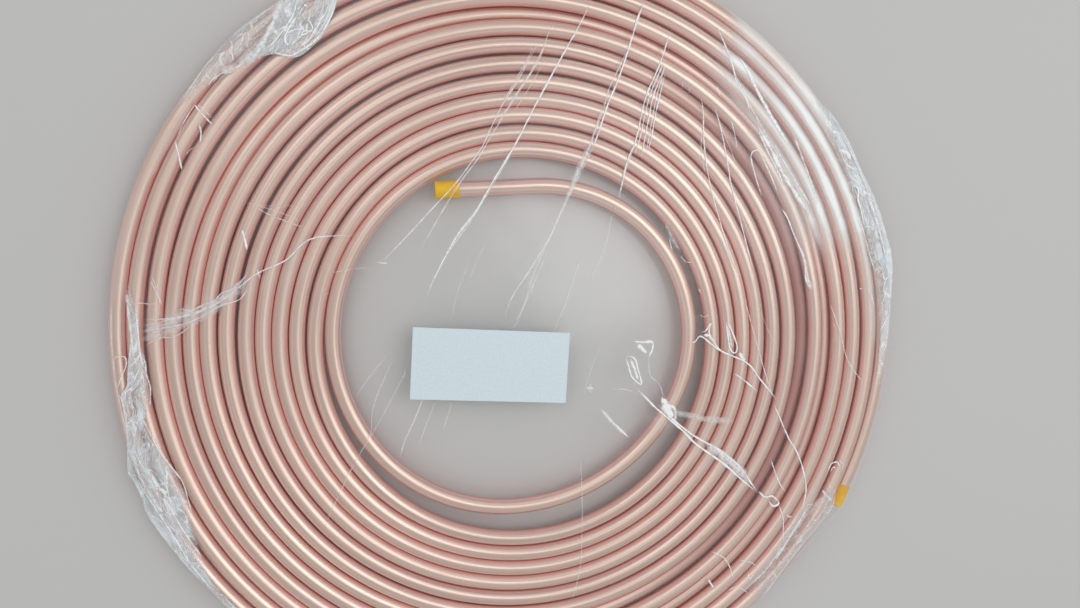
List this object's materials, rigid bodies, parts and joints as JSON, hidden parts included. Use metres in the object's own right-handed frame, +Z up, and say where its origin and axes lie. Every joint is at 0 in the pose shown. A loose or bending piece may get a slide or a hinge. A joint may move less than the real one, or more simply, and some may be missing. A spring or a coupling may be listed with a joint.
{
  "type": "copper tube coil",
  "caption": "Flat spiral coil of soft copper tube with capped ends, sealed in clear film with a bare paper label.",
  "frame": {"origin": "on the coil's axis, in the flat underside of the wrap that it rests on", "axes": "+Z up, along the coil's axis and out of the labelled face; +X to the right and +Y to the top as the label is read"},
  "size_m": [0.5137, 0.5138, 0.0173],
  "materials": {
    "copper": "bright drawn soft copper, pinkish, lightly streaked along the tube",
    "cap_plastic": "moulded yellow plastic",
    "film": "clear glossy plastic film with tension creases and gathered rim",
    "label_paper": "smooth white paper, bare"
  },
  "bodies": {
    "root": {"copper_tube": "copper", "inner_end_cap": "cap_plastic", "outer_end_cap": "cap_plastic", "film_back": "film", "film_front": "film", "label": "label_paper"}
  },
  "joints": []
}
